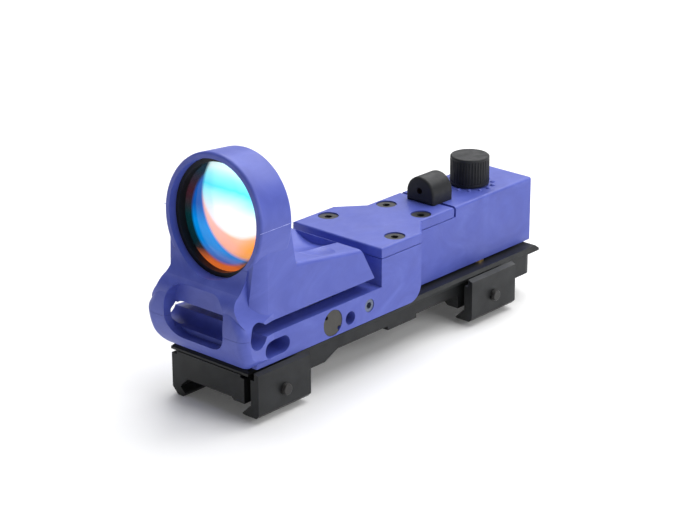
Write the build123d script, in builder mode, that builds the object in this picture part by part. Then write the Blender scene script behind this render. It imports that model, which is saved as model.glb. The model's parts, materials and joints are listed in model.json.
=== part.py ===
"""Open reflex red dot sight on a two-foot clamp mount, as an assembly of separate parts.

Frame: origin on the rail seat plane, midway between the two clamp feet; +X along the line of
sight toward the target, +Y to the sight's left, +Z up. Millimetres.
"""

import os
from math import radians, sqrt, tan

from build123d import *

os.makedirs("parts", exist_ok=True)

# ---------------------------------------------------------------- driving dimensions
RAIL_FLANK = 2.7  # height of the upper 45 degree flank of the 21.2 mm rail that the feet clamp
FOOT_PITCH = 86.1  # distance between the centres of the two feet
FOOT_LENGTH = 19.6
BODY_HALF = 16.1  # half width of the base bar, block and lens carrier
BOX_HALF = 9.9  # half width of the electronics box
FRONT_X = 57.9
BLOCK_FRONT_X = 3.25
WIDE_END_X = -13.1
NARROW_START_X = -20.35
COVER_END_X = -34.5
BOX_TOP_START_X = -35.4
REAR_X = -70.15
BASE_Z = 9.2  # underside of the moulded body
BAR_TOP_Z = 17.35
TAIL_Z = 20.9  # underside of the lens carrier's tail
COVER_Z = 25.3
TOP_Z = 28.3

# mount
FOOT_BOTTOM_Z = -5.4
BAR_TOP = 7.0  # top of the clamp bar
BAR_UNDER = 3.2
BAR_HALF = 12.8
PLATE_TOP = 8.5
PLATE_HALF = 14.0
PLATE_REAR_X = -68.95
LAND_X = (-20.0, 49.0)  # raised land that carries the moulded body
LAND_HALF = 8.0
CLAMP_OPEN = 2.2  # travel of a clamp plate from open to closed
BOLT_Z = 1.8
BOLT_R = 1.5
SCREW_R = 1.5
RUN = 0.05  # radial running clearance
MOUNT_SCREW_X = (37.55, 8.2, -13.65)

# lens carrier
TILT = 5.5  # lens axis tilt, degrees
RING_X, RING_Z = 50.2, 45.7  # centre of the ring's front rim
RING_R = 17.2
RIM_R = 15.5
RING_LENGTH = 11.5
CROSS_X, CROSS_Z, CROSS_R = 51.45, 18.6, 3.6
FRONT_ROUND = 2.4
EAR_HALF, EAR_Z = 17.7, 20.3  # the front end flares out into two ears
NECK_HALF = 13.3  # half width where the front end runs into the ring
NECK_Z = 35.0
FLARE_X = (45.0, 55.0)  # stretch over which the body's sides widen into the ears
JOINT_GAP = 0.08
WINDOW_HALF = 10.6
WINDOW_Z, WINDOW_HEIGHT = 21.0, 14.8
WINDOW_FLOOR_X = 53.6
LENS_R = 15.4
LENS_CURVE = 160.0
LENS_DEPTH, LENS_THICK = 3.98, 3.5  # lens front centre behind the rim, centre thickness
LENS_SAG = LENS_CURVE - sqrt(LENS_CURVE**2 - LENS_R**2)
SHOULDER_DEPTH = 9.2

# adjusters
WINDAGE_X, WINDAGE_Z, WINDAGE_R = 22.65, 13.1, 1.4
ELEVATION_X, ELEVATION_Y, ELEVATION_R = 18.0, -6.5, 1.6
POCKET_X = (14.2, 27.2)
POCKET_HALF = 10.6
POCKET_FLOOR_Z = 10.7

# electronics
CELL_X, CELL_R, CELL_H = -8.9, 10.0, 3.2
CELL_FLOOR_Z = 20.8
CELL_Z = 21.5
WALL = 1.6
KNOB_X, KNOB_R = -53.55, 5.65
KNOB_Z = (28.8, 37.0)
KNOB_FLUTES = 40
BOARD_Z, BOARD_T = 17.0, 1.2
HOOD_X = (-31.25, -40.05)
HOOD_HALF = 4.9
HOOD_ARCH_Z = 30.9
LED_Z = 31.8
FRONT_SCREWS = (-6.65, 12.1)
REAR_SCREWS = (-24.45, 6.3)
HEAD_R = 2.75
HEAD_Z = (26.25, 28.0)  # cover screw head, bottom of its cone and top
BOTTOM_COVER_X = (-68.3, -18.2)
BOTTOM_SCREW_X = (-65.9, -21.0)


# ---------------------------------------------------------------- shared helpers
def save(piece, name):
    """Label a finished part and write its STEP file."""
    piece.part.label = name
    export_step(piece.part, f"parts/{name}.step")


def side_plane(y):
    """Sketch plane at a given y: sketch x is the part's X, sketch y its Z; it faces -Y."""
    return Plane(origin=(0, y, 0), x_dir=(1, 0, 0), z_dir=(0, -1, 0))


def end_plane(x):
    """Sketch plane at a given x: sketch x is the part's Y, sketch y its Z; it faces +X."""
    return Plane(origin=(x, 0, 0), x_dir=(0, 1, 0), z_dir=(1, 0, 0))


def lens_plane(depth):
    """Plane across the lens axis, the given depth behind the ring's front rim, facing back."""
    rim = Plane(origin=(RING_X, 0, RING_Z), x_dir=(0, -1, 0), z_dir=(-1, 0, -tan(radians(TILT))))
    return rim.offset(depth)


def across(y_from, y_to, x, z, radius, mode=Mode.SUBTRACT):
    """A cylinder along Y between two y values."""
    with BuildSketch(side_plane(y_to)) as disc:
        with Locations((x, z)):
            Circle(radius)
    extrude(disc.sketch, amount=y_to - y_from, mode=mode)


def upright(x, y, z_from, z_to, radius, mode=Mode.SUBTRACT):
    """A cylinder along Z between two heights."""
    with BuildSketch(Plane.XY.offset(z_from)) as disc:
        with Locations((x, y)):
            Circle(radius)
    extrude(disc.sketch, amount=z_to - z_from, mode=mode)


def block(x, y, z, mode=Mode.ADD):
    """A box given by its (low, high) limits along X, Y and Z."""
    with BuildSketch(Plane.XY.offset(z[0])) as floor:
        with Locations(((x[0] + x[1]) / 2, (y[0] + y[1]) / 2)):
            Rectangle(abs(x[1] - x[0]), abs(y[1] - y[0]))
    extrude(floor.sketch, amount=z[1] - z[0], mode=mode)


def hex_socket(x, y, z, size, depth):
    """A hexagonal key recess cut down from a height (or up, for a negative depth)."""
    with BuildSketch(Plane.XY.offset(z)) as socket:
        with Locations((x, y)):
            RegularPolygon(size, 6)
    extrude(socket.sketch, amount=-depth, mode=Mode.SUBTRACT)


def hood_shape(x_from, x_to, half, bottom, mode=Mode.ADD):
    """Round-topped tunnel shape, used for the emitter hood and its hollow."""
    with BuildSketch(end_plane(x_from)) as tunnel:
        with Locations((0, HOOD_ARCH_Z)):
            Circle(half)
        with Locations((0, (bottom - 3 + HOOD_ARCH_Z) / 2)):
            Rectangle(2 * half, HOOD_ARCH_Z - bottom + 3)
        with Locations((0, bottom - 10)):
            Rectangle(40, 20, mode=Mode.SUBTRACT)
    extrude(tunnel.sketch, amount=x_to - x_from, mode=mode)


def front_end():
    """The flared front end, whole: front, side and top outlines intersected, edges rounded."""
    with BuildPart() as front:
        with BuildSketch(end_plane(FLARE_X[0] - 1)):
            with BuildLine():
                for side in (-1, 1):
                    Polyline(
                        (0, BASE_Z),
                        (side * EAR_HALF, BASE_Z),
                        (side * EAR_HALF, EAR_Z),
                        (side * 14.0, 26.2),
                    )
                    ThreePointArc((side * 14.0, 26.2), (side * 13.1, 29.6), (side * NECK_HALF, NECK_Z))
                    Line((side * NECK_HALF, NECK_Z), (0, NECK_Z))
            make_face()
            fillet(vertices().group_by(Axis.Y)[0], radius=5.0)
            fillet(vertices().filter_by_position(Axis.Y, EAR_Z - 0.1, EAR_Z + 0.1), radius=3.6)
        extrude(amount=20)
        # side view: bowed front, rounded upper edge, hollow ramp up to the ring's front rim
        with BuildSketch(side_plane(20)):
            with BuildLine():
                ThreePointArc((53.6, BASE_Z), (FRONT_X, 18.8), (57.2, 25.0))
                ThreePointArc((57.2, 25.0), (56.3, 27.7), (54.4, 29.3))
                ThreePointArc((54.4, 29.3), (52.4, 31.5), (51.3, NECK_Z))
                Polyline((51.3, NECK_Z), (40, NECK_Z), (40, BASE_Z), (53.6, BASE_Z))
            make_face()
        extrude(amount=40, mode=Mode.INTERSECT)
        bow = faces().sort_by_distance((FRONT_X, 0, 19.5))[0]
        fillet(bow.edges().filter_by_position(Axis.Z, BASE_Z, 24.8), radius=FRONT_ROUND)
        with BuildSketch(Plane.XY):
            with BuildLine():
                Polyline(
                    (40, -BODY_HALF),
                    (FLARE_X[0], -BODY_HALF),
                    (FLARE_X[1], -EAR_HALF),
                    (60, -EAR_HALF),
                    (60, EAR_HALF),
                    (FLARE_X[1], EAR_HALF),
                    (FLARE_X[0], BODY_HALF),
                    (40, BODY_HALF),
                    close=True,
                )
            make_face()
        extrude(amount=50, mode=Mode.INTERSECT)
    return front.part


def pedestal():
    """Neck that carries the ring: full width at the back, rounded in toward the front end."""
    with BuildPart() as neck:
        with BuildSketch(Plane.XY.offset(TAIL_Z)):
            with BuildLine():
                for side in (-1, 1):
                    Polyline((30, 0), (30, side * BODY_HALF), (47, side * BODY_HALF))
                    ThreePointArc((47, side * BODY_HALF), (50.3, side * 15.1), (52.6, side * NECK_HALF))
                    Line((52.6, side * NECK_HALF), (52.6, 0))
            make_face()
        extrude(amount=30)
        with BuildSketch(side_plane(BODY_HALF)):
            with BuildLine():
                Polyline(
                    (34.0, TAIL_Z),
                    (38.6, 45.0),
                    (RING_X - 0.3, 45.7),
                    (52.4, TAIL_Z),
                    close=True,
                )
            make_face()
        extrude(amount=2 * BODY_HALF, mode=Mode.INTERSECT)
    return neck.part


def ring():
    """The tilted ring as a solid disc with rounded rims."""
    with BuildPart() as disc:
        with BuildSketch(lens_plane(0)):
            Circle(RING_R)
        extrude(amount=RING_LENGTH)
        fillet(edges(), radius=0.8)
    return disc.part


def front_openings():
    """Window in the front end, the slot behind it and the cross hole that they open into."""
    with BuildSketch(end_plane(WINDOW_FLOOR_X)) as window:
        with Locations((0, WINDOW_Z)):
            RectangleRounded(2 * WINDOW_HALF, WINDOW_HEIGHT, 5.6)
    extrude(window.sketch, amount=8, mode=Mode.SUBTRACT)
    with BuildSketch(end_plane(CROSS_X)) as slot:
        with Locations((0, CROSS_Z)):
            SlotOverall(22.6, 2 * CROSS_R)
    extrude(slot.sketch, amount=4, mode=Mode.SUBTRACT)
    across(-20, 20, CROSS_X, CROSS_Z, CROSS_R)


# ---------------------------------------------------------------- moulded base frame
def body_plan(end_x):
    """Plan of the body: full width to the block's rear corner, then the narrow box."""
    with BuildLine() as outline:
        Polyline(
            (BLOCK_FRONT_X, BODY_HALF),
            (WIDE_END_X, BODY_HALF),
            (NARROW_START_X, BOX_HALF),
            (end_x, BOX_HALF),
            (end_x, -BOX_HALF),
            (NARROW_START_X, -BOX_HALF),
            (WIDE_END_X, -BODY_HALF),
            (BLOCK_FRONT_X, -BODY_HALF),
            close=True,
        )
    make_face(outline.edges())


with BuildPart() as base_frame:
    with BuildSketch(Plane.XY.offset(BASE_Z)):
        body_plan(REAR_X)
    extrude(amount=COVER_Z - BASE_Z)
    block((REAR_X, BOX_TOP_START_X), (-BOX_HALF, BOX_HALF), (COVER_Z, TOP_Z))
    long_edges = edges().filter_by(Axis.X).group_by(Axis.Z)[-1]
    fillet(faces().sort_by(Axis.X)[0].edges() + long_edges, radius=0.8)
    block((BLOCK_FRONT_X, CROSS_X), (-BODY_HALF, BODY_HALF), (BASE_Z, BAR_TOP_Z))
    add(front_end())
    # nothing above the split plane in front, nothing above the bar's top behind it
    block((CROSS_X, FRONT_X + 1), (-20, 20), (CROSS_Z - JOINT_GAP / 2, 40), Mode.SUBTRACT)
    block((BLOCK_FRONT_X, CROSS_X), (-20, 20), (BAR_TOP_Z, 40), Mode.SUBTRACT)
    front_openings()
    # long slots in both sides of the bar
    for side in (-1, 1):
        with BuildSketch(side_plane(side * (BODY_HALF - 6))):
            with Locations((43.95, 13.2)):
                SlotOverall(9.6, 4.6)
        extrude(amount=-10 * side, mode=Mode.SUBTRACT)
    # pocket, bearings and head recess of the windage adjuster
    block(POCKET_X, (-POCKET_HALF, POCKET_HALF), (POCKET_FLOOR_Z, BAR_TOP_Z), Mode.SUBTRACT)
    across(-13.5, 15.0, WINDAGE_X, WINDAGE_Z, WINDAGE_R + RUN)
    across(14.9, 20, WINDAGE_X, WINDAGE_Z, 3.65)
    # lock screw holes in the left side
    across(POCKET_HALF, 20, 15.8, 12.4, 1.85)
    across(2.3, 20, 8.2, 13.6, 1.85)
    # threaded insert holes for the mount screws
    for x in MOUNT_SCREW_X:
        upright(x, 0, BASE_Z, 15.4, 2.3)
    # battery recess, contact channel and electronics room
    upright(CELL_X, 0, CELL_FLOOR_Z, COVER_Z, CELL_R + 0.2)
    block((-30, -18), (-3.9, 3.9), (CELL_FLOOR_Z, COVER_Z), Mode.SUBTRACT)
    room = (-BOX_HALF + WALL, BOX_HALF - WALL)
    block((-62.2, -27.4), room, (BASE_Z + 1.5, COVER_Z), Mode.SUBTRACT)
    block((-62.2, BOX_TOP_START_X + 0.3), room, (COVER_Z, 26.5), Mode.SUBTRACT)
    block(BOTTOM_COVER_X, (-BOX_HALF + 1, BOX_HALF - 1), (BASE_Z, BASE_Z + 1.5), Mode.SUBTRACT)
    for x in BOTTOM_SCREW_X:
        upright(x, 0, BASE_Z, BASE_Z + 7.5, 1.0)
    for side in (-1, 1):
        upright(FRONT_SCREWS[0], side * FRONT_SCREWS[1], 16.5, COVER_Z, SCREW_R)
        upright(REAR_SCREWS[0], side * REAR_SCREWS[1], 16.5, COVER_Z, SCREW_R)
    # switch bush, emitter leads and emitter hood pegs
    upright(KNOB_X, 0, 26.5, TOP_Z, 3.0 + RUN)
    upright(-38.4, 0, 26.5, TOP_Z, 1.9)
    for side in (-1, 1):
        upright(-38.4, side * 3.5, 26.8, TOP_Z, 0.9)
    # rear lower corners of the wide block
    for side in (-1, 1):
        with BuildSketch(side_plane(side * (BOX_HALF + 0.2))):
            with BuildLine():
                ThreePointArc((-8.6, BASE_Z), (-11.8, BASE_Z + 1.4), (WIDE_END_X, BASE_Z + 5.0))
                Polyline((WIDE_END_X, BASE_Z + 5.0), (-22, BASE_Z + 5.0), (-22, BASE_Z), (-8.6, BASE_Z))
            make_face()
        extrude(amount=-side * 10, mode=Mode.SUBTRACT)
save(base_frame, "base_frame")

with BuildPart() as top_cover:
    with BuildSketch(Plane.XY.offset(COVER_Z)):
        body_plan(COVER_END_X)
    extrude(amount=TOP_Z - COVER_Z)
    fillet(faces().sort_by(Axis.Z)[-1].edges(), radius=0.5)
    chamfer(faces().sort_by(Axis.Z)[0].edges(), length=0.25)
    for side in (-1, 1):
        for x, y in (FRONT_SCREWS, REAR_SCREWS):
            upright(x, side * y, COVER_Z, TOP_Z, SCREW_R + RUN)
            with Locations((x, side * y, HEAD_Z[0] + 0.7)):
                Cone(SCREW_R + RUN, HEAD_R + 0.15, 1.4, mode=Mode.SUBTRACT)
            upright(x, side * y, HEAD_Z[0] + 1.4, TOP_Z, HEAD_R + 0.15)
save(top_cover, "top_cover")

with BuildPart() as cover_screws:
    for side in (-1, 1):
        for x, y in (FRONT_SCREWS, REAR_SCREWS):
            upright(x, side * y, 17.0, HEAD_Z[0], SCREW_R, Mode.ADD)
            with Locations((x, side * y, HEAD_Z[0] + 0.7)):
                Cone(SCREW_R, HEAD_R, 1.4)
            upright(x, side * y, HEAD_Z[0] + 1.4, HEAD_Z[1], HEAD_R, Mode.ADD)
            hex_socket(x, side * y, HEAD_Z[1], 1.15, 1.3)
save(cover_screws, "cover_screws")

with BuildPart() as bottom_cover:
    block(
        (BOTTOM_COVER_X[0] + RUN, BOTTOM_COVER_X[1] - RUN),
        (-BOX_HALF + 1 + RUN, BOX_HALF - 1 - RUN),
        (BASE_Z, BASE_Z + 1.5),
    )
    for x in BOTTOM_SCREW_X:
        with Locations(Plane(origin=(x, 0, BASE_Z), z_dir=(0, 0, -1))):
            CounterSinkHole(radius=1.0, counter_sink_radius=2.0)
save(bottom_cover, "bottom_cover")

with BuildPart() as bottom_cover_screws:
    for x in BOTTOM_SCREW_X:
        with BuildSketch(Plane.XZ):
            with BuildLine():
                Polyline(
                    (x, BASE_Z),
                    (x + 1.9, BASE_Z),
                    (x + 1.0, BASE_Z + 0.9),
                    (x + 1.0, BASE_Z + 6.5),
                    (x, BASE_Z + 6.5),
                    close=True,
                )
            make_face()
        revolve(axis=Axis((x, 0, 0), (0, 0, 1)))
save(bottom_cover_screws, "bottom_cover_screws")

# ---------------------------------------------------------------- lens carrier
with BuildPart() as lens_carrier:
    # tail: an arched bar with a slanted rear end and a ramp up to the back of the ring
    with BuildSketch(side_plane(BODY_HALF)):
        with BuildLine():
            Polyline(
                (41.5, TAIL_Z),
                (6.2, TAIL_Z),
                (11.35, 30.3),
                (34.5, 33.6),
                (41.5, 33.6),
                close=True,
            )
        make_face()
    extrude(amount=2 * BODY_HALF)
    fillet(edges().filter_by_position(Axis.Z, 30, 34).filter_by_position(Axis.X, 20, 25), radius=1.2)
    add(pedestal())
    add(ring())
    add(front_end())
    block((CROSS_X, FRONT_X + 1), (-20, 20), (0, CROSS_Z + JOINT_GAP / 2), Mode.SUBTRACT)
    block((0, CROSS_X), (-20, 20), (0, TAIL_Z), Mode.SUBTRACT)
    front_openings()
    # lens bore with a shoulder at the back
    with BuildSketch(lens_plane(-20)):
        Circle(RIM_R)
    extrude(amount=20 + SHOULDER_DEPTH, mode=Mode.SUBTRACT)
    with BuildSketch(lens_plane(0)):
        Circle(13.9)
    extrude(amount=40, mode=Mode.SUBTRACT)
    # shallow round scoop in the tail's top
    with Locations((20.5, 9.9, 31.7 + 17.0 - 0.8)):
        Sphere(17.0, mode=Mode.SUBTRACT)
    # elevation insert and key access
    upright(ELEVATION_X, ELEVATION_Y, TAIL_Z, TAIL_Z + 4.2, 2.8)
    upright(ELEVATION_X, ELEVATION_Y, TAIL_Z, 40, 2.2)
save(lens_carrier, "lens_carrier")

# ---------------------------------------------------------------- lens and what holds it
with BuildPart() as lens_retaining_ring:
    with BuildSketch(lens_plane(2.4)):
        Circle(RIM_R)
        Circle(14.3, mode=Mode.SUBTRACT)
    extrude(amount=2.2)
save(lens_retaining_ring, "lens_retaining_ring")

with BuildPart() as lens:
    # meniscus: both faces have the same large radius and are hollow toward the shooter
    with BuildSketch(lens_plane(2)):
        Circle(LENS_R)
    extrude(amount=8)
    with Locations(lens_plane(LENS_DEPTH + LENS_CURVE)):
        Sphere(LENS_CURVE, mode=Mode.INTERSECT)
    with Locations(lens_plane(LENS_DEPTH + LENS_THICK + LENS_CURVE)):
        Sphere(LENS_CURVE, mode=Mode.SUBTRACT)
save(lens, "lens")

with BuildPart() as lens_seal:
    with BuildSketch(lens_plane(SHOULDER_DEPTH)):
        Circle(RIM_R)
        Circle(14.1, mode=Mode.SUBTRACT)
    extrude(amount=LENS_DEPTH + LENS_THICK + LENS_SAG - SHOULDER_DEPTH)
save(lens_seal, "lens_seal")

# ---------------------------------------------------------------- windage and elevation
with BuildPart() as carrier_insert:
    upright(ELEVATION_X, ELEVATION_Y, TAIL_Z, TAIL_Z + 4.2, 2.8, Mode.ADD)
    upright(ELEVATION_X, ELEVATION_Y, TAIL_Z, TAIL_Z + 4.2, ELEVATION_R + 3 * RUN)
save(carrier_insert, "carrier_insert")

with BuildPart() as adjuster_block:
    block((15.2, 26.2), (-9.5, 8.9), (10.9, 16.7))
    across(-12, 12, WINDAGE_X, WINDAGE_Z, WINDAGE_R + 2 * RUN)
    across(-12, -3, WINDAGE_X, WINDAGE_Z, 1.9)
    across(3, 12, WINDAGE_X, WINDAGE_Z, 1.9)
    upright(ELEVATION_X, ELEVATION_Y, 11.7, 16.7, ELEVATION_R + RUN)
save(adjuster_block, "adjuster_block")

with BuildPart() as elevation_screw:
    upright(ELEVATION_X, ELEVATION_Y, 11.8, 26.0, ELEVATION_R, Mode.ADD)
    upright(ELEVATION_X, ELEVATION_Y, 16.75, 17.6, 2.6, Mode.ADD)
    hex_socket(ELEVATION_X, ELEVATION_Y, 26.0, 0.75, 2.0)
save(elevation_screw, "elevation_screw")

with BuildPart() as windage_adjuster:
    across(14.9, 16.0, WINDAGE_X, WINDAGE_Z, 3.55, Mode.ADD)
    across(-13.5, 14.9, WINDAGE_X, WINDAGE_Z, WINDAGE_R, Mode.ADD)
    # two notches in the rim for a pin key
    for turn in (-1, 1):
        across(15.3, 17, WINDAGE_X + turn * 2.4, WINDAGE_Z + turn * 2.0, 0.6)
save(windage_adjuster, "windage_adjuster")

with BuildPart() as windage_clip:
    across(9.9, 10.4, WINDAGE_X, WINDAGE_Z, 2.3, Mode.ADD)
    across(9.8, 10.5, WINDAGE_X, WINDAGE_Z, WINDAGE_R)
save(windage_clip, "windage_clip")

with BuildPart() as block_lock_screw:
    across(10.8, 13.0, 15.8, 12.4, 1.8, Mode.ADD)
    across(9.9, 10.8, 15.8, 12.4, 1.2, Mode.ADD)
    with BuildSketch(side_plane(13.0)):
        with Locations((15.8, 12.4)):
            RegularPolygon(0.9, 6)
    extrude(amount=1.4, mode=Mode.SUBTRACT)
save(block_lock_screw, "block_lock_screw")

with BuildPart() as lock_set_screw:
    across(2.3, 15.9, 8.2, 13.6, 1.8, Mode.ADD)
    with BuildSketch(side_plane(15.9)):
        with Locations((8.2, 13.6)):
            RegularPolygon(1.0, 6)
    extrude(amount=2.0, mode=Mode.SUBTRACT)
save(lock_set_screw, "lock_set_screw")

# ---------------------------------------------------------------- battery and electronics
with BuildPart() as battery_cell:
    upright(CELL_X, 0, CELL_Z, CELL_Z + CELL_H, CELL_R, Mode.ADD)
    fillet(edges(), radius=0.4)
save(battery_cell, "battery_cell")

with BuildPart() as battery_contact_minus:
    block((-29.0, -4.65), (-3.4, -0.4), (CELL_Z - 0.3, CELL_Z))
    block((-29.0, -28.7), (-3.4, -0.4), (BOARD_Z + BOARD_T, CELL_Z))
save(battery_contact_minus, "battery_contact_minus")

with BuildPart() as battery_contact_plus:
    block((-29.0, -7.65), (0.4, 3.4), (CELL_Z + CELL_H, CELL_Z + CELL_H + 0.3))
    block((-29.0, -28.7), (0.4, 3.4), (BOARD_Z + BOARD_T, CELL_Z + CELL_H + 0.3))
save(battery_contact_plus, "battery_contact_plus")

with BuildPart() as circuit_board:
    block((-61.5, -27.8), (-7.9, 7.9), (BOARD_Z, BOARD_Z + BOARD_T))
save(circuit_board, "circuit_board")

with BuildPart() as rotary_switch_body:
    block((KNOB_X - 5, KNOB_X + 5), (-5, 5), (BOARD_Z + BOARD_T, 24.5))
    upright(KNOB_X, 0, 24.5, 30.2, 3.0, Mode.ADD)
    upright(KNOB_X, 0, 20.0, 31.0, SCREW_R + RUN)
save(rotary_switch_body, "rotary_switch_body")

with BuildPart() as switch_nut:
    with BuildSketch(Plane.XY.offset(TOP_Z)):
        with Locations((KNOB_X, 0)):
            RegularPolygon(3.9, 6)
            Circle(3.0, mode=Mode.SUBTRACT)
    extrude(amount=1.5)
save(switch_nut, "switch_nut")

with BuildPart() as switch_shaft:
    upright(KNOB_X, 0, 20.05, 35.6, SCREW_R, Mode.ADD)
save(switch_shaft, "switch_shaft")

with BuildPart() as brightness_knob:
    upright(KNOB_X, 0, KNOB_Z[0], KNOB_Z[1], KNOB_R, Mode.ADD)
    fillet(edges().group_by(Axis.Z)[-1], radius=0.5)
    with BuildSketch(Plane.XY.offset(KNOB_Z[0] + 0.8)):
        with Locations((KNOB_X, 0)):
            with PolarLocations(KNOB_R, KNOB_FLUTES):
                Circle(0.24)
    extrude(amount=KNOB_Z[1] - KNOB_Z[0] - 1.6, mode=Mode.SUBTRACT)
    upright(KNOB_X, 0, KNOB_Z[0], 30.7, 4.3)
    upright(KNOB_X, 0, 30.7, 35.6, SCREW_R)
    with BuildSketch(end_plane(KNOB_X - KNOB_R - 1)):
        with Locations((0, 33.2)):
            Circle(1.0)
    extrude(amount=KNOB_R + 1 - SCREW_R, mode=Mode.SUBTRACT)
save(brightness_knob, "brightness_knob")

with BuildPart() as knob_set_screw:
    with BuildSketch(end_plane(KNOB_X - 5.0)):
        with Locations((0, 33.2)):
            Circle(1.0)
    extrude(amount=3.5)
    with BuildSketch(end_plane(KNOB_X - 5.0)):
        with Locations((0, 33.2)):
            RegularPolygon(0.5, 6)
    extrude(amount=1.2, mode=Mode.SUBTRACT)
save(knob_set_screw, "knob_set_screw")

with BuildPart() as emitter_hood:
    hood_shape(HOOD_X[1], HOOD_X[0], HOOD_HALF, TOP_Z)
    fillet(edges().group_by(Axis.X)[0] + edges().group_by(Axis.X)[-1], radius=0.8)
    hood_shape(HOOD_X[1] + 1.3, HOOD_X[0] - 1.3, HOOD_HALF - 1.3, TOP_Z, Mode.SUBTRACT)
    # light outlet toward the lens
    with BuildSketch(end_plane(HOOD_X[0] - 2)):
        with Locations((0, LED_Z)):
            Circle(0.9)
    extrude(amount=3, mode=Mode.SUBTRACT)
    for side in (-1, 1):
        upright(-38.4, side * 3.5, 26.9, TOP_Z + 2, 0.85, Mode.ADD)
save(emitter_hood, "emitter_hood")

with BuildPart() as emitter_led:
    with BuildSketch(end_plane(-37.15)):
        with Locations((0, LED_Z)):
            Circle(1.5)
    extrude(amount=2.8)
    with Locations((-34.35, 0, LED_Z)):
        Sphere(1.5)
    with BuildSketch(end_plane(-37.15)):
        with Locations((0, LED_Z)):
            Circle(1.8)
    extrude(amount=0.7)
    for side in (-1, 1):
        block((-38.6, -37.15), (side * 0.65, side * 1.15), (LED_Z - 0.25, LED_Z + 0.25))
        block((-38.6, -38.1), (side * 0.65, side * 1.15), (BOARD_Z + BOARD_T, LED_Z + 0.25))
save(emitter_led, "emitter_led")

# ---------------------------------------------------------------- mount
with BuildPart() as body_inserts:
    for x in MOUNT_SCREW_X:
        upright(x, 0, BASE_Z, 15.4, 2.3, Mode.ADD)
        upright(x, 0, BASE_Z, 14.7, SCREW_R)
save(body_inserts, "body_inserts")

with BuildPart() as mount_screws:
    for x in MOUNT_SCREW_X:
        upright(x, 0, 0.8, BAR_UNDER + 0.6, 2.75, Mode.ADD)
        upright(x, 0, BAR_UNDER + 0.6, 14.6, SCREW_R, Mode.ADD)
        hex_socket(x, 0, 0.8, 1.45, -1.6)
save(mount_screws, "mount_screws")

with BuildPart() as mount_plate:
    block((PLATE_REAR_X, 52.6), (-PLATE_HALF, PLATE_HALF), (BAR_TOP, PLATE_TOP))
    upper = edges().group_by(Axis.Z)[-1]
    chamfer(upper, length=0.8)
    block((LAND_X[0], LAND_X[1]), (-LAND_HALF, LAND_HALF), (PLATE_TOP - 0.1, BASE_Z))
    for x in MOUNT_SCREW_X:
        upright(x, 0, BAR_TOP, BASE_Z, SCREW_R + RUN)
save(mount_plate, "mount_plate")

with BuildPart() as brass_spacers:
    for side in (-1, 1):
        upright(-47.65, side * 7.9, PLATE_TOP, BASE_Z, 2.0, Mode.ADD)
save(brass_spacers, "brass_spacers")

with BuildPart() as clamp_bar:
    # bar between the feet, seen from the side: thick behind the front foot, thin in the middle
    with BuildSketch(side_plane(BAR_HALF)):
        with BuildLine():
            Polyline(
                (52.85, BAR_TOP),
                (52.85, 0.9),
                (22.35, 0.9),
                (17.35, BAR_UNDER),
                (-52.85, BAR_UNDER),
                (-52.85, 0.6),
                (-67.35, 0.6),
                (-67.35, BAR_TOP),
                close=True,
            )
        make_face()
    extrude(amount=2 * BAR_HALF)
    block((-15.15, -3.15), (-BAR_HALF, BAR_HALF), (2.0, BAR_UNDER))
    # feet with the fixed hooked jaw on the right and a flat seat for the rail
    for centre in (-FOOT_PITCH / 2, FOOT_PITCH / 2):
        with BuildSketch(end_plane(centre - FOOT_LENGTH / 2)):
            with BuildLine():
                Polyline(
                    (-13.5, BAR_TOP),
                    (-13.5, -3.4),
                    (-11.5, FOOT_BOTTOM_Z),
                    (-9.6, FOOT_BOTTOM_Z),
                    (-9.0, -4.8),
                    (-9.0, -4.3),
                    (-10.6, -RAIL_FLANK),
                    (-7.9, 0),
                    (8.2, 0),
                    (9.0, -0.8),
                    (BAR_HALF, -0.8),
                    (BAR_HALF, BAR_TOP),
                    close=True,
                )
            make_face()
        extrude(amount=FOOT_LENGTH)
    # shadow groove under the plate's overhang and rounded rear end
    for side in (-1, 1):
        block((-70, 60), (side * 11.5, side * 14.5), (6.2, BAR_TOP), Mode.SUBTRACT)
    tail_edges = edges().filter_by(Axis.Z).filter_by_position(Axis.X, -67.4, -67.3)
    fillet(tail_edges.group_by(Axis.Z)[0], radius=3.0)
    for centre in (-FOOT_PITCH / 2, FOOT_PITCH / 2):
        across(-14, 14, centre, BOLT_Z, BOLT_R + RUN)
        across(-14, -11.6, centre, BOLT_Z, 2.85)
    for x in MOUNT_SCREW_X:
        upright(x, 0, -1, BAR_TOP, SCREW_R + RUN)
        upright(x, 0, -1, BAR_UNDER + 0.6, 2.85)
save(clamp_bar, "clamp_bar")

for name, centre in (("front_clamp_plate", FOOT_PITCH / 2), ("rear_clamp_plate", -FOOT_PITCH / 2)):
    with BuildPart() as clamp_plate:
        with BuildSketch(end_plane(centre - FOOT_LENGTH / 2)):
            with BuildLine():
                Polyline(
                    (12.9 + CLAMP_OPEN, 8.8),
                    (12.9 + CLAMP_OPEN + 1.3, 8.8),
                    (12.9 + CLAMP_OPEN + 2.8, 8.2),
                    (12.9 + CLAMP_OPEN + 2.8, -2.8),
                    (12.9 + CLAMP_OPEN + 1.8, -3.8),
                    (12.5, -3.8),
                    (12.0, -3.5),
                    (14.6, -0.9),
                    (12.9 + CLAMP_OPEN, -0.9),
                    close=True,
                )
            make_face()
        extrude(amount=FOOT_LENGTH)
        # step that clears the plate above the bar when the clamp closes
        block((centre - 10, centre + 10), (15, 12.9 + CLAMP_OPEN + 1.3), (6.6, 10), Mode.SUBTRACT)
        across(10, 20, centre, BOLT_Z, BOLT_R + RUN)
    save(clamp_plate, name)

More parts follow.
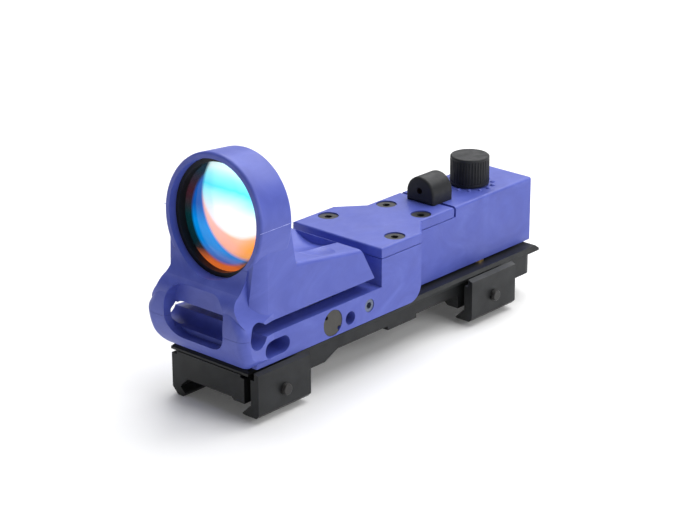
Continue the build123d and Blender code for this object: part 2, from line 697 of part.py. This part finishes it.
for name, centre in (("front_clamp_bolt", FOOT_PITCH / 2), ("rear_clamp_bolt", -FOOT_PITCH / 2)):
    with BuildPart() as clamp_bolt:
        across(-14.6, -11.6, centre, BOLT_Z, 2.75, Mode.ADD)
        across(-11.6, 19.2, centre, BOLT_Z, BOLT_R, Mode.ADD)
        with BuildSketch(side_plane(-14.6)):
            with Locations((centre, BOLT_Z)):
                RegularPolygon(1.45, 6)
        extrude(amount=-1.6, mode=Mode.SUBTRACT)
        fillet(edges().group_by(Axis.Y)[-1], radius=0.3)
    save(clamp_bolt, name)
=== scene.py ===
"""Looks of the open reflex sight: materials, small surface details, studio, camera."""

import json
import math

import bmesh
import bpy
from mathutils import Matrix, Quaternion, Vector


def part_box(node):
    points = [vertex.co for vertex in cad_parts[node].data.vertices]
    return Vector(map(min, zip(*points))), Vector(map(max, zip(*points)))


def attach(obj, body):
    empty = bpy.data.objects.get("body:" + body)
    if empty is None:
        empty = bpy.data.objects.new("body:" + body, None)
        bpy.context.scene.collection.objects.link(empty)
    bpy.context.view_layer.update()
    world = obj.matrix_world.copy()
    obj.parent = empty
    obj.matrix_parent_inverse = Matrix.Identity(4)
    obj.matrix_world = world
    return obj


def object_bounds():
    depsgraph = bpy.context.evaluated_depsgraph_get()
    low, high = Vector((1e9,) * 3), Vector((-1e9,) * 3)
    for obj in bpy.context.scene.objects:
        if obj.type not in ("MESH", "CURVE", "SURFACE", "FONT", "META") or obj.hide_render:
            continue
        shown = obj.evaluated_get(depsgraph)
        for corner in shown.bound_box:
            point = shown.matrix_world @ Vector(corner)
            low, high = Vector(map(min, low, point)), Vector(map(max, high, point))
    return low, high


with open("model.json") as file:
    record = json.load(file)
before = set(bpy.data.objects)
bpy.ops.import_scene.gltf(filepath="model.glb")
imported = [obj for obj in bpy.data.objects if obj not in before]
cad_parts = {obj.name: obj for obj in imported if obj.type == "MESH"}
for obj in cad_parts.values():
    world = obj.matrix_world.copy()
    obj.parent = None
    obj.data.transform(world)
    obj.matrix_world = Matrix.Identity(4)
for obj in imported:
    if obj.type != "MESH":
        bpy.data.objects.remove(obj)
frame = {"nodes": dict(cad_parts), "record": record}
cad_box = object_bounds()
MM = 0.001

# ---------------------------------------------------------------- colours and sizes
WHITE = (1, 1, 1)
DEEP_VIOLET = (0.064, 0.086, 0.39)
VIOLET = (0.075, 0.101, 0.435)
PALE_VIOLET = (0.093, 0.123, 0.485)
BLACK_POLYMER = (0.008, 0.009, 0.011)
DARK_POLYMER = (0.006, 0.007, 0.009)
PALE_POLYMER = (0.014, 0.015, 0.018)

# painted lens reflections: circles on the lens as middle (y, z), radius and soft edge, in lens radii
OPENING = ((0.47, 0.37), 0.98, 0.035)  # clear view through the lens
UPPER_AREA = ((0.33, 0.66), 0.93, 0.04)  # white and cyan; salmon outside it
CORNER = ((0.91, -0.80), 0.60, 0.12)  # orange, low on one side
CRESCENT = ((0.06, 0.02), 0.81, 0.03)  # azure; dark rim outside it
# painted lens reflections: colours from the lens's lower edge (0) to its upper edge (1)
UPPER_COLORS = [
    (0.60, WHITE),
    (0.74, (0.42, 0.93, 1.0)),
    (0.82, (0.08, 0.74, 0.93)),
    (0.90, (0.30, 0.90, 1.0)),
    (0.98, (0.75, 0.98, 1.0)),
]
SALMON = [
    (0.18, (1.0, 0.34, 0.16)),
    (0.34, (1.0, 0.42, 0.24)),
    (0.58, (1.0, 0.52, 0.40)),
]
ORANGE = (1.0, 0.36, 0.03)
AZURE = [
    (0.12, (0.004, 0.05, 0.30)),
    (0.30, (0.0, 0.22, 0.66)),
    (0.45, (0.0, 0.26, 0.74)),
    (0.62, (0.002, 0.09, 0.42)),
    (0.85, (0.006, 0.10, 0.42)),
    (0.97, (0.02, 0.30, 0.62)),
]
RIM_COLORS = [
    (0.06, (0.9, 0.20, 0.03)),
    (0.16, (0.75, 0.16, 0.03)),
    (0.24, (0.003, 0.02, 0.03)),
    (0.50, (0.002, 0.03, 0.035)),
    (0.72, (0.05, 0.012, 0.02)),
    (0.92, (0.01, 0.03, 0.05)),
]
# painted lens reflections: how much they cover, as greys
UPPER_COVER = [
    (0.30, (0.88,) * 3),
    (0.50, (0.82,) * 3),
    (0.60, (0.76,) * 3),
    (0.68, (0.76,) * 3),
    (0.78, (0.90,) * 3),
    (0.95, (0.86,) * 3),
]
SALMON_COVER = (0.88,) * 3
CRESCENT_COVER = (0.93,) * 3
WAVER = 0.16  # how far the colour bands wander

BOLT_RADIUS = 1.5 * MM
THREAD_PITCH = 0.5 * MM
THREAD_CREST = 0.13 * MM
THREAD_STOP = 0.35 * MM  # plain length left at the bolt's end
THREAD_STEPS = 28  # per turn

MARK_COUNT = 14
MARK_GAP = 0.3 * MM  # from the knob to the mark
MARK_LENGTH = 1.7 * MM
MARK_SUNK = 0.1 * MM
MARK_RADII = [radius * MM for radius in (0.15, 0.45, 0.58, 0.60, 0.55, 0.40, 0.15)]

FLASH_RADIUS = 0.09 * MM
FLASH_SUNK = 0.05 * MM
FLASH_POINTS = 9
FLASH_LENGTH = 12.5 * MM
FLASH_AHEAD = 3.4 * MM  # its front end, ahead of the lens
FLASH_RISE = 0.7 * MM  # above the lens's middle
RING_WALL = 1.7 * MM  # ring's wall around the retaining ring

FLOOR_HALF = 1.0
FLOOR_GREY = (0.92,) * 3
BACKDROP, FILL = 0.95, 0.12  # world brightness at the horizon and above
BACKDROP_TOP = (0.11, 0.17)  # sine of the elevations between which it fades

FOCAL_LENGTH, SENSOR_WIDTH = 116.85, 36.0
EYE = (0.42885, 0.3851, 0.2417)
GAZE = (-0.6959, -0.6219, -0.3590)
ROLL = -0.135  # degrees


# ---------------------------------------------------------------- node helpers
def material(name, color, roughness, **constants):
    """A Principled material; constants go straight onto the shader's sockets."""
    mat = bpy.data.materials.new(name)
    mat.use_nodes = True
    shader = mat.node_tree.nodes["Principled BSDF"]
    shader.inputs["Base Color"].default_value = (*color, 1)
    shader.inputs["Roughness"].default_value = roughness
    for key, value in constants.items():
        shader.inputs[key.replace("_", " ")].default_value = value
    mat.diffuse_color = (*color, 1)
    return mat


def node(owner, kind, **inputs):
    """A new node in a material or world, with its inputs set."""
    made = owner.node_tree.nodes.new(kind)
    for key, value in inputs.items():
        made.inputs[key.replace("_", " ")].default_value = value
    return made


def link(owner, source, target):
    owner.node_tree.links.new(source, target)


def into(mat, output, socket):
    """Feeds an output into one of the shader's sockets."""
    link(mat, output, mat.node_tree.nodes["Principled BSDF"].inputs[socket])


def place(mat):
    """Coordinates that ride with the piece."""
    return node(mat, "ShaderNodeTexCoord").outputs["Object"]


def noise(mat, scale, detail=4.0, rough=0.55, distortion=0.0, stretch=None):
    """A noise factor, finer along the axes with a larger stretch."""
    texture = node(
        mat, "ShaderNodeTexNoise", Scale=scale, Detail=detail, Roughness=rough, Distortion=distortion
    )
    spot = place(mat)
    if stretch is not None:
        mapping = node(mat, "ShaderNodeMapping", Scale=stretch)
        link(mat, spot, mapping.inputs["Vector"])
        spot = mapping.outputs["Vector"]
    link(mat, spot, texture.inputs["Vector"])
    return texture.outputs["Fac"]


def ramp(mat, factor, stops):
    """Colours along a factor, each stop a (position, colour)."""
    made = node(mat, "ShaderNodeValToRGB")
    elements = made.color_ramp.elements
    while len(elements) < len(stops):
        elements.new(0.5)
    for element, (position, color) in zip(elements, stops):
        element.position = position
        element.color = (*color, 1)
    link(mat, factor, made.inputs["Fac"])
    return made.outputs["Color"]


def spread(owner, factor, low, high, start=0.3, end=0.7):
    """Maps a factor's stretch from start to end onto low to high."""
    made = node(owner, "ShaderNodeMapRange", From_Min=start, From_Max=end, To_Min=low, To_Max=high)
    link(owner, factor, made.inputs["Value"])
    return made.outputs["Result"]


def bump(mat, layers):
    """Stacks bump layers, each (height, strength, distance in metres), onto the shader."""
    normal = None
    for height, strength, distance in layers:
        made = node(mat, "ShaderNodeBump", Strength=strength, Distance=distance)
        link(mat, height, made.inputs["Height"])
        if normal is not None:
            link(mat, normal, made.inputs["Normal"])
        normal = made.outputs["Normal"]
    into(mat, normal, "Normal")


def circle_mask(mat, spot, radius, soft):
    """0 inside a circle seen along X, 1 outside it; the circle's middle is (y, z)."""
    flat = node(mat, "ShaderNodeVectorMath")
    flat.operation = "MULTIPLY"
    flat.inputs[1].default_value = (0, 1, 1)
    link(mat, place(mat), flat.inputs[0])
    away = node(mat, "ShaderNodeVectorMath")
    away.operation = "DISTANCE"
    link(mat, flat.outputs["Vector"], away.inputs[0])
    away.inputs[1].default_value = (0, *spot)
    return spread(mat, away.outputs["Value"], 0, 1, radius - soft, radius + soft)


def mix(mat, factor, first, second):
    """Blend of two colours, each an output or a plain colour."""
    made = node(mat, "ShaderNodeMix")
    made.data_type = "RGBA"
    made.clamp_factor = True
    link(mat, factor, made.inputs["Factor"])
    for key, value in (("A", first), ("B", second)):
        if isinstance(value, tuple):
            made.inputs[key].default_value = (*value, 1)
        else:
            link(mat, value, made.inputs[key])
    return made.outputs["Result"]


# ---------------------------------------------------------------- materials
def moulded_violet():
    """Glass-filled polymer: faint flow marbling, satin, fine leathery grain."""
    mat = material("violet_polymer", VIOLET, 0.4, Specular_IOR_Level=0.42)
    flow = noise(mat, 55, detail=5, rough=0.6, distortion=1.6, stretch=(1, 1.6, 1.6))
    tones = [(0.3, DEEP_VIOLET), (0.52, VIOLET), (0.72, PALE_VIOLET)]
    into(mat, ramp(mat, flow, tones), "Base Color")
    into(mat, spread(mat, noise(mat, 140, detail=3), 0.36, 0.5), "Roughness")
    ripple = noise(mat, 380, detail=3)
    grain = noise(mat, 2600, detail=2)
    bump(mat, [(ripple, 0.10, 0.0002), (grain, 0.16, 0.00006)])
    return mat


def black_metal(name, color, roughness, grain=3200, streak=None):
    """Black anodised or oxide-coated metal with a fine blasted grain."""
    mat = material(name, color, roughness, Metallic=0.35, Specular_IOR_Level=0.36)
    lighter = tuple(c * 1.45 + 0.004 for c in color)
    tone = noise(mat, 90)
    into(mat, ramp(mat, tone, [(0.3, color), (0.75, lighter)]), "Base Color")
    smudge = noise(mat, 220, detail=3, stretch=streak)
    into(mat, spread(mat, smudge, roughness - 0.07, roughness + 0.1), "Roughness")
    bump(mat, [(noise(mat, grain, detail=2, stretch=streak), 0.22, 0.00005)])
    return mat


def black_plastic():
    """Matt black polymer with a moulded grain."""
    mat = material("black_polymer", BLACK_POLYMER, 0.5, Specular_IOR_Level=0.34)
    tone = noise(mat, 120)
    into(mat, ramp(mat, tone, [(0.3, DARK_POLYMER), (0.75, PALE_POLYMER)]), "Base Color")
    into(mat, spread(mat, noise(mat, 400, detail=3), 0.42, 0.6), "Roughness")
    bump(mat, [(noise(mat, 1800, detail=3), 0.3, 0.00008)])
    return mat


def plain_metal(name, color, roughness, streak=None, scale=700):
    """Bare metal with turned or brushed streaks."""
    mat = material(name, color, roughness, Metallic=1.0)
    darker = tuple(c * 0.78 for c in color)
    tone = noise(mat, scale, stretch=streak)
    into(mat, ramp(mat, tone, [(0.3, darker), (0.7, color)]), "Base Color")
    smudge = noise(mat, scale * 2, detail=3, stretch=streak)
    into(mat, spread(mat, smudge, roughness - 0.06, roughness + 0.12), "Roughness")
    bump(mat, [(noise(mat, scale * 3, detail=2, stretch=streak), 0.12, 0.00003)])
    return mat


def speckled(name, low, high, roughness, scale=900, height=0.15):
    """A plain material whose colour wanders between two tones."""
    mat = material(name, low, roughness)
    into(mat, ramp(mat, noise(mat, scale), [(0.35, low), (0.7, high)]), "Base Color")
    bump(mat, [(noise(mat, scale * 2, detail=2), height, 0.00005)])
    return mat


def coated_glass():
    """Lens with painted reflections: azure crescent toward one side, clear middle, cyan above, salmon and
    orange below; it glows with painted light.
    """
    # the emission strength makes the lens glow: painted light
    mat = material(
        "coated_glass", (0.8, 0.92, 1.0), 0.05, IOR=1.5, Specular_IOR_Level=0.3, Emission_Strength=0.62
    )
    low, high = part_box("lens")
    middle = (Vector(low) + Vector(high)) / 2
    radius = (high[1] - low[1]) / 2
    split = node(mat, "ShaderNodeSeparateXYZ")
    link(mat, place(mat), split.inputs["Vector"])
    height = spread(mat, split.outputs["Z"], 0, 1, middle.z - radius, middle.z + radius)
    wavy = node(mat, "ShaderNodeMath")
    wavy.operation = "MULTIPLY_ADD"
    link(mat, noise(mat, 70, detail=2, rough=0.5, distortion=0.6), wavy.inputs[0])
    wavy.inputs[1].default_value = WAVER
    link(mat, height, wavy.inputs[2])

    def bands(stops):
        return ramp(mat, wavy.outputs["Value"], stops)

    def outside(circle):
        (y, z), size, soft = circle
        return circle_mask(mat, (middle.y + y * radius, middle.z + z * radius), size * radius, soft * radius)

    below = outside(UPPER_AREA)
    beyond = outside(OPENING)
    clear = mix(mat, below, bands(UPPER_COLORS), bands(SALMON))
    clear = mix(mat, outside(CORNER), ORANGE, clear)
    edge = mix(mat, outside(CRESCENT), bands(AZURE), bands(RIM_COLORS))
    color = mix(mat, beyond, clear, edge)
    # the painted reflection colours serve as both the base colour and the glow
    into(mat, color, "Base Color")
    into(mat, color, "Emission Color")
    cover = mix(mat, below, bands(UPPER_COVER), SALMON_COVER)
    into(mat, mix(mat, beyond, cover, CRESCENT_COVER), "Alpha")
    return mat


violet = moulded_violet()
oxide = black_metal("black_steel", (0.026, 0.025, 0.025), 0.36, grain=2400)
LOOKS = {
    "violet_polymer": violet,
    "black_polymer": black_plastic(),
    "black_anodised": black_metal("black_anodised", (0.013, 0.014, 0.015), 0.44),
    "black_steel": oxide,
    "bright_steel": plain_metal("bright_steel", (0.62, 0.63, 0.65), 0.28),
    "brass": plain_metal("brass", (0.72, 0.50, 0.20), 0.3),
    "adjuster_alloy": plain_metal("adjuster_alloy", (0.58, 0.59, 0.61), 0.36, (4, 60, 60), 300),
    "coated_glass": coated_glass(),
    "seal_rubber": speckled("seal_rubber", (0.02, 0.02, 0.02), (0.035, 0.035, 0.035), 0.8),
    "circuit_laminate": speckled("circuit_laminate", (0.02, 0.16, 0.06), (0.03, 0.22, 0.09), 0.4, 500),
    "switch_plastic": speckled("switch_plastic", (0.05, 0.05, 0.055), (0.08, 0.08, 0.085), 0.55),
    "led_epoxy": speckled("led_epoxy", (0.45, 0.01, 0.01), (0.6, 0.03, 0.02), 0.12, 200, 0.02),
}
# pieces that look unlike the rest of their material
OWN_LOOK = {
    "windage_adjuster": black_metal(
        "adjuster_head", (0.052, 0.050, 0.046), 0.46, grain=1500, streak=(1, 30, 1)
    ),
    "lock_set_screw": black_metal("dull_steel", (0.10, 0.12, 0.18), 0.42, grain=1800),
}
# the flash's pale violet is a painted highlight along the ridge, not the polymer's own colour
flash = speckled("mould_flash_painted_highlight", (0.30, 0.34, 0.75), (0.42, 0.46, 0.85), 0.4, 1500)

for part in frame["record"]["subparts"]:
    name = part["node"]
    look = OWN_LOOK.get(name, LOOKS[part["material_slot"]])
    for slot in frame["nodes"][name].material_slots:
        slot.material = look


# ---------------------------------------------------------------- small surface details
def sweep(name, points, radii, body, look, sides=10):
    """A closed tube along the points, with a radius at each, as a mesh that rides on a body."""
    mesh = bpy.data.meshes.new(name)
    tube = bmesh.new()
    rings = []
    for i, (point, radius) in enumerate(zip(points, radii)):
        along = (points[min(i + 1, len(points) - 1)] - points[max(i - 1, 0)]).normalized()
        aside = along.orthogonal() if i == 0 else (aside - along * aside.dot(along)).normalized()
        aside.normalize()
        over = along.cross(aside)
        turns = [2 * math.pi * k / sides for k in range(sides)]
        rings.append([
            tube.verts.new(point + radius * (math.cos(turn) * aside + math.sin(turn) * over))
            for turn in turns
        ])
    for first, second in zip(rings, rings[1:]):
        for k in range(sides):
            after = (k + 1) % sides
            tube.faces.new((first[k], first[after], second[after], second[k]))
    tube.faces.new(rings[0][::-1])
    tube.faces.new(rings[-1])
    bmesh.ops.recalc_face_normals(tube, faces=tube.faces)
    for face in tube.faces:
        face.smooth = len(face.verts) == 4
    tube.to_mesh(mesh)
    tube.free()
    piece = bpy.data.objects.new(name, mesh)
    bpy.context.collection.objects.link(piece)
    mesh.materials.append(look)
    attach(piece, body)


def bolt_thread(side):
    """Thread crest around the bolt's end, outside the clamp plate."""
    low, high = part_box(f"{side}_clamp_bolt")
    x, z = (low[0] + high[0]) / 2, (low[2] + high[2]) / 2
    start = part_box(f"{side}_clamp_plate")[1][1] + THREAD_CREST
    length = high[1] - THREAD_STOP - start
    turns = length / THREAD_PITCH
    steps = int(turns * THREAD_STEPS)
    points, radii = [], []
    for i in range(steps + 1):
        angle = 2 * math.pi * turns * i / steps
        across, up = BOLT_RADIUS * math.cos(angle), BOLT_RADIUS * math.sin(angle)
        points.append(Vector((x + across, start + length * i / steps, z + up)))
        # the crest runs in and out over its first and last steps
        radii.append(THREAD_CREST * min(1, 0.2 + min(i, steps - i) / 5))
    sweep(f"{side}_bolt_thread", points, radii, f"{side}_clamp_bolt", oxide, 8)


def index_marks():
    """Low moulded ridges around the brightness knob."""
    low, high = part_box("brightness_knob")
    middle = (Vector(low) + Vector(high)) / 2
    base = Vector((middle.x, middle.y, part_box("base_frame")[1][2] - MARK_SUNK))
    inner = (high[0] - low[0]) / 2 + MARK_GAP
    last = len(MARK_RADII) - 1
    for k in range(MARK_COUNT):
        turn = 2 * math.pi * (k + 0.5) / MARK_COUNT
        out = Vector((math.cos(turn), math.sin(turn), 0))
        points = [base + out * (inner + MARK_LENGTH * i / last) for i in range(last + 1)]
        sweep(f"index_mark_{k + 1:02d}", points, MARK_RADII, "frame", violet)


def parting_line(name, side):
    """Fine mould flash along the ring's side, front to back, coloured pale as a painted highlight."""
    low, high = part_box("lens")
    height = (low[2] + high[2]) / 2 + FLASH_RISE
    y = side * (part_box("lens_retaining_ring")[1][1] + RING_WALL - FLASH_SUNK)
    front = high[0] + FLASH_AHEAD
    step = FLASH_LENGTH / (FLASH_POINTS - 1)
    points = [Vector((front - step * i, y, height)) for i in range(FLASH_POINTS)]
    # uneven thickness, as flash has
    radii = [FLASH_RADIUS * (0.75 + 0.25 * math.cos(2.1 * i)) for i in range(FLASH_POINTS)]
    sweep(name, points, radii, "lens_carrier", flash, 8)


bolt_thread("front")
bolt_thread("rear")
index_marks()
parting_line("parting_line_left", 1)
parting_line("parting_line_right", -1)


# ---------------------------------------------------------------- studio
def floor():
    """A plain pale floor under the object's lowest point."""
    mesh = bpy.data.meshes.new("floor")
    half = FLOOR_HALF
    corners = [(-half, -half, 0), (half, -half, 0), (half, half, 0), (-half, half, 0)]
    mesh.from_pydata(corners, [], [(0, 1, 2, 3)])
    mesh.materials.append(
        material("floor", FLOOR_GREY, 0.55, Emission_Color=(*WHITE, 1), Emission_Strength=0.05)
    )
    obj = bpy.data.objects.new("floor", mesh)
    obj.location = (0, 0, cad_box[0][2])
    bpy.context.collection.objects.link(obj)


def softbox(name, spot, aim, size, power):
    """A rectangular area light at a spot, turned toward its aim."""
    data = bpy.data.lights.new(name, "AREA")
    data.shape = "RECTANGLE"
    data.size, data.size_y = size
    data.energy = power
    obj = bpy.data.objects.new(name, data)
    obj.location = spot
    obj.rotation_mode = "QUATERNION"
    obj.rotation_quaternion = (Vector(aim) - Vector(spot)).to_track_quat("-Z", "Y")
    bpy.context.collection.objects.link(obj)


floor()
softbox("overhead", spot=(-0.55, -0.1, 1.1), aim=(-0.02, 0, 0), size=(1.7, 1.7), power=30)
softbox("left_side", spot=(-0.15, 1.0, 0.6), aim=(0, 0, 0.02), size=(0.8, 0.6), power=5.2)

world = bpy.data.worlds.new("studio")
world.use_nodes = True
backdrop = world.node_tree.nodes["Background"]
backdrop.inputs["Color"].default_value = (*WHITE, 1)
# pale up to a little above the horizon, dim fill light higher up
rise = node(world, "ShaderNodeSeparateXYZ")
link(world, node(world, "ShaderNodeTexCoord").outputs["Generated"], rise.inputs["Vector"])
glow = spread(world, rise.outputs["Z"], BACKDROP, FILL, *BACKDROP_TOP)
link(world, glow, backdrop.inputs["Strength"])
bpy.context.scene.world = world
bpy.context.scene.view_settings.view_transform = "Standard"

camera = bpy.data.cameras.new("camera")
camera.lens = FOCAL_LENGTH
camera.sensor_width = SENSOR_WIDTH
camera.clip_start, camera.clip_end = 0.01, 20
eye = bpy.data.objects.new("camera", camera)
eye.location = EYE
eye.rotation_mode = "QUATERNION"
level = Vector(GAZE).to_track_quat("-Z", "Y")
eye.rotation_quaternion = level @ Quaternion((0, 0, 1), math.radians(ROLL))
bpy.context.collection.objects.link(eye)
bpy.context.scene.camera = eye
